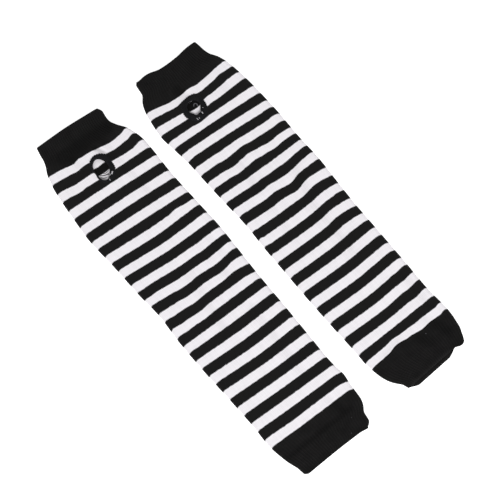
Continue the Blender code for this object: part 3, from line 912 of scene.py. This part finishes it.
def rib_material():
    """Matt black rib: knitted stitches on each ridge, with painted light on the ridges and painted
    shade in the grooves between them.
    """
    material, tree, shader = new_material("black_rib")
    rib, course = knit_places(tree)
    to_groove = calc(tree, "MULTIPLY", calc(tree, "PINGPONG", rib, 0.5), 2.0)
    stray = calc(tree, "SUBTRACT", noise_on_cloth(tree, scale=900.0, detail=2.0), 0.5)
    along_leg = calc(tree, "FRACT", calc(tree, "MULTIPLY_ADD", to_groove, 0.9, course))
    strand = calc(tree, "SINE", calc(tree, "MULTIPLY", along_leg, math.pi))
    height = calc(tree, "MULTIPLY_ADD", stray, 0.5, strand)
    # Painted light on the crests and along their stitch legs; the grooves between the ribs are
    # painted darker, painted shade. The mottle is the yarn's own uneven tone.
    crest = calc(tree, "SUBTRACT", 1.0, calc(tree, "MULTIPLY", to_groove, to_groove))
    light = calc(tree, "MULTIPLY", crest, calc(tree, "MULTIPLY_ADD", strand, 0.4, 0.6))
    mottle = noise_on_cloth(tree, scale=140.0, detail=4.0)
    lint_and_painted_shading = calc(tree, "MULTIPLY_ADD", mottle, 0.9, calc(tree, "MULTIPLY", light, mottle))
    lint_and_painted_shading = calc(tree, "MULTIPLY_ADD", lint_and_painted_shading, 0.25, 0.125)
    # Painted shade in the creases, and a painted highlight along the arm lip where the trough value
    # is negative.
    lint_and_painted_shading = calc(tree, "MULTIPLY", lint_and_painted_shading, painted_trough_shading(tree, 0.6))
    colour = mix_colours(tree, lint_and_painted_shading, (0.0, 0.0, 0.0), scaled(RIB_YARN, 4.0))
    roughness = calc(tree, "MULTIPLY_ADD", stray, 0.15, 0.88)
    finish_yarn(tree, shader, colour, height, 0.7, roughness, specular=0.14, sheen=(0.02, 0.45))
    return material


layer_steps = RIBS_PER_LAYER * STEPS_PER_RIB
cuff_ring = ring_round(layer_steps, RIBS_PER_FOLD * STEPS_PER_RIB, layer_steps)
cuff_grooves = rib_tree()
rib_knit = rib_material()
for glove in GLOVES:
    for part, seam, mouth in (("hand", 0, -CUFF_STRIPES), ("arm", STRIPES, STRIPES + CUFF_STRIPES)):
        outside, inside, strength, courses = cuff_skins(glove, cuff_ring, seam, mouth)
        rows, columns = outside.shape[:2]
        ribs = np.arange(columns + 1) / STEPS_PER_RIB
        cuff_name = glove.side + "_" + part + "_rib_cuff"
        no_cut = np.zeros((rows - 1, columns), bool)
        cuff_mesh = shell_mesh(cuff_name, glove, outside, inside, no_cut, ribs, courses)
        outward = np.stack((cuff_ring.out, 0.0 * cuff_ring.out, cuff_ring.up), axis=-1)
        outward = strength[:, None, None] * outward[None]
        # Painted shade in the upper layer's creases.
        trough = crease_depth(glove.creases, outside[..., 0], outside[..., 1])
        trough = np.clip(trough / DEEPEST_CREASE, 0.0, 1.0) * np.maximum(cuff_ring.up, 0.0)
        trough = np.stack((trough, 0.0 * trough))
        # At the arm mouth a painted highlight along the upper lip, as a negative trough value.
        if part == "arm":
            parted = mouth_share(glove.arm_mouth, outside[..., 0])
            by_lip = ease_from(PAINTED_HIGHLIGHT_FROM, courses / RIB_COURSES)[:, None]
            trough = trough - glove.arm_mouth.pale * parted * by_lip
        set_points(cuff_mesh, "trough", trough)
        set_points(cuff_mesh, "rib", np.tile(ribs[:-1], 2 * rows))
        set_points(cuff_mesh, "outward", np.concatenate((outward, outward)))
        cuff = add_piece(cuff_name, cuff_mesh)
        run_tree(cuff, cuff_grooves, {
            "Relief": RIB_RELIEF * MM, "Crest Width": CREST_WIDTH, "Yarn": rib_knit,
        })
        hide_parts(glove.side + "_" + part + "_cuff")
        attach(cuff, "root")


# Thumb edgings
# The cut edge of each thumb hole is bound with black overlocked yarn. It is a soft rolled rim
# with slanting stitches close together all round it, and a chain of yarn on its outer side.

RIM_MIDDLE = 3.3
RIM_HALF_HEIGHT = 0.8
RIM_STEPS = 96
STITCH_HALF_HEIGHT = 0.95
STITCH_RADIUS = 0.36
STITCH_UNEVENNESS = 0.22
STITCH_PITCH = 1.05
STITCH_SLANT = 0.35
CHAIN_RADIUS = 0.34
CHAIN_SWAY = 0.28
CHAIN_WAVES = 38
STEPS_PER_WAVE = 8
EDGING_YARN = (0.0050, 0.0052, 0.0066)


def cloth_top(glove, x, y):
    """How high the upper layer's outer face lies, away from the folds."""
    return JERSEY_HEIGHT - crease_depth(glove.creases, x, y) - UNEVENNESS * uneven_lie(x, y)


def yarn_tube(path, wide, high, sides, closed):
    """The points and faces of a yarn along a level path, with its half width and half height."""
    if closed:
        run = np.roll(path, -1, axis=0) - np.roll(path, 1, axis=0)
    else:
        run = np.gradient(path, axis=0)
    run = run / np.linalg.norm(run, axis=1)[:, None]
    aside = np.cross(run, (0.0, 0.0, 1.0))
    aside = aside / np.linalg.norm(aside, axis=1)[:, None]
    above = np.cross(aside, run)
    turn = 2.0 * math.pi * np.arange(sides) / sides
    points = path[:, None] + np.cos(turn)[None, :, None] * (aside * wide[:, None])[:, None]
    points = points + np.sin(turn)[None, :, None] * (above * high[:, None])[:, None]
    count = len(path)
    faces = []
    for j in range(count if closed else count - 1):
        k = (j + 1) % count
        for i in range(sides):
            n = (i + 1) % sides
            faces.append((j * sides + i, j * sides + n, k * sides + n, k * sides + i))
    if not closed:
        faces.append(tuple(range(sides)))
        faces.append(tuple((count - 1) * sides + i for i in range(sides)))
    return points.reshape(-1, 3), faces


def join_tubes(name, glove, tubes, stitches=None):
    """One mesh from several yarns and, where given, the stitches over them."""
    working = bmesh.new()
    if stitches is not None:
        working.from_mesh(stitches)
    for points, faces in tubes:
        corners = [working.verts.new(point) for point in to_pair(glove, points)]
        for face in faces:
            working.faces.new([corners[index] for index in face])
    bmesh.ops.recalc_face_normals(working, faces=working.faces)
    mesh = bpy.data.meshes.new(name)
    working.to_mesh(mesh)
    working.free()
    return mesh


def overlock_tree():
    """A tree that lays one stitch of yarn over the rim at each point."""
    tree, given = new_tree("overlock_stitches", {
        "Stitch Places": "Geometry", "Half Height": "Float", "Yarn Radius": "Float",
        "Unevenness": "Float", "Yarn": "Material",
    })
    chance = add_node(tree, "FunctionNodeRandomValue", {"Seed": 7}).outputs[1]
    spread = calc(tree, "MULTIPLY", calc(tree, "SUBTRACT", chance, 0.5), given["Unevenness"])
    uneven = calc(tree, "ADD", spread, 1.0)

    arc = add_node(tree, "GeometryNodeCurveArc", {
        "Resolution": 9, "Radius": 1.0,
        "Start Angle": math.radians(-25.0), "Sweep Angle": math.radians(230.0),
    })
    upright = add_node(tree, "GeometryNodeTransform", {
        "Geometry": arc.outputs["Curve"], "Rotation": (math.radians(90.0), 0.0, 0.0),
    })
    spin = add_node(tree, "ShaderNodeCombineXYZ", {"Z": named_value(tree, "turn", "FLOAT")})
    rotation = add_node(tree, "FunctionNodeEulerToRotation", {"Euler": spin.outputs["Vector"]})
    half_width = named_value(tree, "half_width", "FLOAT")
    size = add_node(tree, "ShaderNodeCombineXYZ", {
        "X": calc(tree, "MULTIPLY", half_width, uneven), "Y": 1.0,
        "Z": calc(tree, "MULTIPLY", given["Half Height"], uneven),
    })
    lay = add_node(tree, "GeometryNodeInstanceOnPoints", {
        "Points": given["Stitch Places"], "Instance": upright.outputs["Geometry"],
        "Rotation": rotation.outputs["Rotation"], "Scale": size.outputs["Vector"],
    })
    paths = add_node(tree, "GeometryNodeRealizeInstances", {"Geometry": lay.outputs["Instances"]})
    section = add_node(tree, "GeometryNodeCurvePrimitiveCircle", {
        "Resolution": 6, "Radius": given["Yarn Radius"],
    })
    yarn = add_node(tree, "GeometryNodeCurveToMesh", {
        "Curve": paths.outputs["Geometry"], "Profile Curve": section.outputs["Curve"],
        "Fill Caps": True,
    })
    end_tree(tree, yarn.outputs["Mesh"], given["Yarn"])
    return tree


def yarn_material(name, colour, strength):
    """Soft spun yarn with fine fibres."""
    material, tree, shader = new_material(name)
    fibres = noise_on_cloth(tree, scale=2200.0, detail=3.0)
    shade = mix_colours(tree, fibres, scaled(colour, 0.6), scaled(colour, 1.4))
    roughness = calc(tree, "MULTIPLY_ADD", fibres, 0.2, 0.75)
    finish_yarn(tree, shader, shade, fibres, strength, roughness, specular=0.2, sheen=(0.03, 0.4))
    return material


def rim_line(glove, turn, share, further=0.0):
    """Points round the hole at turns in degrees: share 0 is the edging's inner rim, 1 its outer."""
    inner, outer = edging_rims(glove, turn)
    radius = inner + (outer - inner) * share + further
    x = glove.hole[0] + radius * np.cos(np.radians(turn))
    y = glove.hole[1] + radius * np.sin(np.radians(turn))
    return x, y, (outer - inner) / 2.0


def stitch_places(glove):
    """A mesh of bare points, one where each overlock stitch crosses the rim."""
    turn = np.linspace(0.0, 360.0, 721)
    x, y, _ = rim_line(glove, turn, 0.5)
    lengths = np.concatenate(([0.0], np.cumsum(np.hypot(np.diff(x), np.diff(y)))))
    count = round(lengths[-1] / STITCH_PITCH)
    turn = np.interp(np.arange(count) * lengths[-1] / count, lengths, turn)
    x, y, half_width = rim_line(glove, turn, 0.5)
    points = to_pair(glove, np.stack((x, y, np.full(count, RIM_MIDDLE)), axis=-1))
    mesh = bpy.data.meshes.new("stitch_places")
    mesh.from_pydata(points.tolist(), [], [])
    set_points(mesh, "turn", np.radians(turn) + glove.turn + STITCH_SLANT)
    set_points(mesh, "half_width", (half_width - STITCH_RADIUS) * MM)
    return mesh


overlock = overlock_tree()
overlock_yarn = yarn_material("black_overlock_yarn", EDGING_YARN, 0.8)
for glove in GLOVES:
    edging_name = glove.side + "_thumb_overlock"
    stitch_piece = put_in_scene("stitch_places", stitch_places(glove))
    run_tree(stitch_piece, overlock, {
        "Half Height": STITCH_HALF_HEIGHT * MM, "Yarn Radius": STITCH_RADIUS * MM,
        "Unevenness": STITCH_UNEVENNESS, "Yarn": overlock_yarn,
    })
    rim_turn = np.arange(RIM_STEPS) * 360.0 / RIM_STEPS
    rim_x, rim_y, rim_half = rim_line(glove, rim_turn, 0.5)
    rim_path = np.stack((rim_x, rim_y, np.full(RIM_STEPS, RIM_MIDDLE)), axis=-1)
    rim_high = np.full(RIM_STEPS, RIM_HALF_HEIGHT)
    rim = yarn_tube(rim_path, rim_half - STITCH_RADIUS, rim_high, sides=12, closed=True)
    chain_steps = CHAIN_WAVES * STEPS_PER_WAVE
    chain_turn = np.arange(chain_steps) * 360.0 / chain_steps
    sway = CHAIN_SWAY * np.sin(np.radians(chain_turn * CHAIN_WAVES))
    chain_x, chain_y, _ = rim_line(glove, chain_turn, 1.0, sway - CHAIN_RADIUS)
    chain_z = cloth_top(glove, chain_x, chain_y) + 0.5 * CHAIN_RADIUS
    chain_path = np.stack((chain_x, chain_y, chain_z), axis=-1)
    thick = np.full(len(chain_path), CHAIN_RADIUS)
    chain = yarn_tube(chain_path, thick, thick, sides=6, closed=True)
    edging_mesh = join_tubes(edging_name, glove, (rim, chain), stitch_piece.data)
    bpy.data.objects.remove(stitch_piece)
    edging_mesh.materials.clear()
    edging_mesh.materials.append(overlock_yarn)
    edging = add_piece(edging_name, edging_mesh)
    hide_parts(glove.side + "_thumb_edging")
    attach(edging, "root")


# Loose ends at the thumb holes
# Ends of yarn hang from the cut edges into the holes and lie on the layer below, tufts of white
# yarn stand out where the knit is cut, and a few specks of lint cling to the black cuffs.

ON_UNDER_LAYER = 1.1
ON_CUFF = 4.35
STRAND_STEPS = 9
FIBRES_PER_TUFT = 9
FIBRE_SWING = 2.4
WHITE_TUFT = (0.52, 0.51, 0.53)
# Grey for the lint specks, and for a white yarn end in the right hole: there it is painted shade.
GREY_SPECKS_AND_PAINTED_SHADE = (0.10, 0.10, 0.11)

# The last column says what a strand lies on: the under layer, the edging's rim or the cuff.
STRAND = "x_from y_from x_mid y_mid x_to y_to half_width place"
LEFT_BLACK_ENDS = table(STRAND, (
    (-3.3, 120.2, -0.6, 117.6, 3.9, 116.4, 0.3, "under"),
    (-3.8, 118.6, -2, 116.2, 0.6, 115.2, 0.22, "under"),
    (-0.6, 119.6, 1.6, 118.2, 4.6, 118.4, 0.2, "under"),
    (1.2, 117, 3.2, 115.4, 4.4, 113.9, 0.24, "under"),
    (-4.2, 121.2, -4.6, 118.4, -3.9, 116, 0.22, "under"),
))
LEFT_WHITE_TUFTS = table(STRAND, (
    (5, 114.5, 5.7, 114.9, 6.3, 115.4, 0.75, "rim"),
    (0.9, 112.6, 0.7, 112, 0.8, 111.4, 0.36, "rim"),
    (-1.2, 114.6, -0.2, 114.2, 0.9, 114.9, 0.5, "rim"),
    (2.6, 114.9, 3.3, 114.6, 4, 115.1, 0.35, "rim"),
))
LEFT_LINT = table(STRAND, (
    (14.5, -158.7, 14.7, -158.9, 14.9, -159.1, 0.24, "cuff"),
    (22.4, -149.5, 22.5, -149.6, 22.6, -149.8, 0.2, "cuff"),
))
RIGHT_BLACK_ENDS = table(STRAND, (
    (-9.6, 114.6, -9.2, 112.6, -8, 111.2, 0.25, "under"),
    (-3.4, 112, -2.6, 113.4, -1.8, 114.6, 0.25, "under"),
))
RIGHT_WHITE_TUFTS = table(STRAND, (
    (-9.8, 109.5, -9.9, 108.8, -9.7, 108.1, 0.32, "rim"),
    (-8.3, 108.8, -8.2, 108.4, -8.3, 107.9, 0.3, "rim"),
    (-3.9, 110.6, -3.7, 110, -4, 109.4, 0.5, "rim"),
    (-1.2, 113.1, -1, 112.8, -0.8, 112.5, 0.2, "rim"),
))
RIGHT_LINT = table(STRAND, (
    (11.4, -132.7, 11.6, -132.9, 11.8, -133.2, 0.34, "cuff"),
))
# A white yarn end in the shade of the right hole, painted grey: painted shade.
RIGHT_WHITE_ENDS_IN_PAINTED_SHADE = table(STRAND, (
    (-5.6, 117.9, -4.1, 119.5, -2.4, 118.5, 0.42, "under"),
    (-2.6, 118.7, -2.6, 117.6, -3.2, 116.4, 0.5, "under"),
))


def strand_tube(glove, strand, rise=0.0):
    """One short end of yarn, bent once and thin at its tips. rise lifts it off what it lies on."""
    share = np.linspace(0.0, 1.0, STRAND_STEPS)

    def bent(start, middle, end):
        straight = (1 - share) ** 2 * start + share ** 2 * end
        return straight + 2 * share * (1 - share) * (2 * middle - (start + end) / 2)

    x = bent(strand.x_from, strand.x_mid, strand.x_to)
    y = bent(strand.y_from, strand.y_mid, strand.y_to)
    if strand.place == "under":
        base = ON_UNDER_LAYER + crease_depth(glove.under_creases, x, y)
    elif strand.place == "rim":
        base = np.full(STRAND_STEPS, RIM_MIDDLE + RIM_HALF_HEIGHT + STITCH_RADIUS)
    else:
        base = ON_CUFF - crease_depth(glove.creases, x, y)
    thick = strand.half_width * (1.0 - 0.6 * np.abs(2.0 * share - 1.0) ** 3)
    path = np.stack((x, y, base + rise + 0.7 * strand.half_width), axis=-1)
    return yarn_tube(path, thick, 0.8 * thick, sides=7, closed=False)


def tuft_tubes(glove, strand):
    """Fine fibres that fan out round one short strand."""
    tubes = []
    spread = 0.75 * strand.half_width
    for fibre in range(FIBRES_PER_TUFT):
        swing = FIBRE_SWING * fibre
        twisted = strand._replace(
            x_from=strand.x_from + spread * math.cos(swing),
            y_from=strand.y_from + spread * math.sin(swing),
            x_mid=strand.x_mid - 0.3 * spread * math.cos(2.0 * swing),
            y_mid=strand.y_mid - 0.3 * spread * math.sin(2.0 * swing),
            x_to=strand.x_to + spread * math.cos(swing + 1.9),
            y_to=strand.y_to + spread * math.sin(swing + 1.9),
            half_width=0.26 * strand.half_width,
        )
        tubes.append(strand_tube(glove, twisted, 0.3 * strand.half_width * (fibre % 3)))
    return tubes


white_tuft_yarn = yarn_material("white_tuft_yarn", WHITE_TUFT, 1.0)
grey_specks_and_painted_shade_yarn = yarn_material("grey_specks_and_painted_shade_yarn", GREY_SPECKS_AND_PAINTED_SHADE, 1.0)
left_glove, right_glove = GLOVES
for glove, part, strands, yarn, slot in (
    (left_glove, "black_yarn_ends", LEFT_BLACK_ENDS, overlock_yarn, "black_overlock_yarn"),
    (left_glove, "white_tufts", LEFT_WHITE_TUFTS, white_tuft_yarn, "striped_jersey"),
    (right_glove, "black_yarn_ends", RIGHT_BLACK_ENDS, overlock_yarn, "black_overlock_yarn"),
    (right_glove, "white_tufts", RIGHT_WHITE_TUFTS, white_tuft_yarn, "striped_jersey"),
    (right_glove, "white_end_in_painted_shade", RIGHT_WHITE_ENDS_IN_PAINTED_SHADE, grey_specks_and_painted_shade_yarn, "striped_jersey"),
    (left_glove, "lint_and_painted_shading", LEFT_LINT, grey_specks_and_painted_shade_yarn, "black_rib_knit"),
    (right_glove, "lint_and_painted_shading", RIGHT_LINT, grey_specks_and_painted_shade_yarn, "black_rib_knit"),
):
    name = glove.side + "_" + part
    tubes = []
    for strand in strands:
        if yarn is white_tuft_yarn:
            tubes.extend(tuft_tubes(glove, strand))
        else:
            tubes.append(strand_tube(glove, strand))
    ends_mesh = join_tubes(name, glove, tubes)
    ends_mesh.materials.append(yarn)
    ends = add_piece(name, ends_mesh)
    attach(ends, "root")


# Floor, light and camera
# A white table with broad soft light from above, seen from straight above.

FLOOR_REACH = 3.0
FLOOR_TOP = -0.0002
FLOOR_CORNERS = ((-1, -1), (1, -1), (1, 1), (-1, 1))
FLOOR_GLOW = 0.75
WORLD_STRENGTH = 0.6

floor_mesh = bpy.data.meshes.new("floor")
corners = [(FLOOR_REACH * x, FLOOR_REACH * y, FLOOR_TOP) for x, y in FLOOR_CORNERS]
floor_mesh.from_pydata(corners, [], [(0, 1, 2, 3)])
floor = put_in_scene("floor", floor_mesh)
floor_material, floor_tree, floor_shader = new_material("white_table")
for label, value in (
    ("Base Color", (0.85, 0.85, 0.85, 1.0)), ("Roughness", 0.8), ("Specular IOR Level", 0.1),
    ("Emission Color", (1.0, 1.0, 1.0, 1.0)), ("Emission Strength", FLOOR_GLOW),
):
    feed(floor_tree, floor_shader.inputs[label], value)
floor_mesh.materials.append(floor_material)

world = bpy.data.worlds.new("studio")
world.use_nodes = True
background = world.node_tree.nodes["Background"]
background.inputs["Color"].default_value = (1.0, 1.0, 1.0, 1.0)
background.inputs["Strength"].default_value = WORLD_STRENGTH
bpy.context.scene.world = world

# The lamp points at the middle of the pair.
lamp_data = bpy.data.lights.new("key_light", "AREA")
lamp_data.size = 1.6
lamp_data.energy = 117.0
lamp = put_in_scene("key_light", lamp_data)
lamp.location = (-0.9, -2.2, 3.2)
lamp.rotation_euler = lamp.location.to_track_quat("Z", "Y").to_euler()

camera_data = bpy.data.cameras.new("camera")
camera_data.lens = 139.0
camera_data.sensor_width = 36.0
camera = put_in_scene("camera", camera_data)
camera.location = (0.00111, -0.00166, 1.5)
camera.rotation_euler = (0.0, 0.0, math.radians(-41.2))
bpy.context.scene.camera = camera
bpy.context.scene.view_settings.view_transform = "Standard"
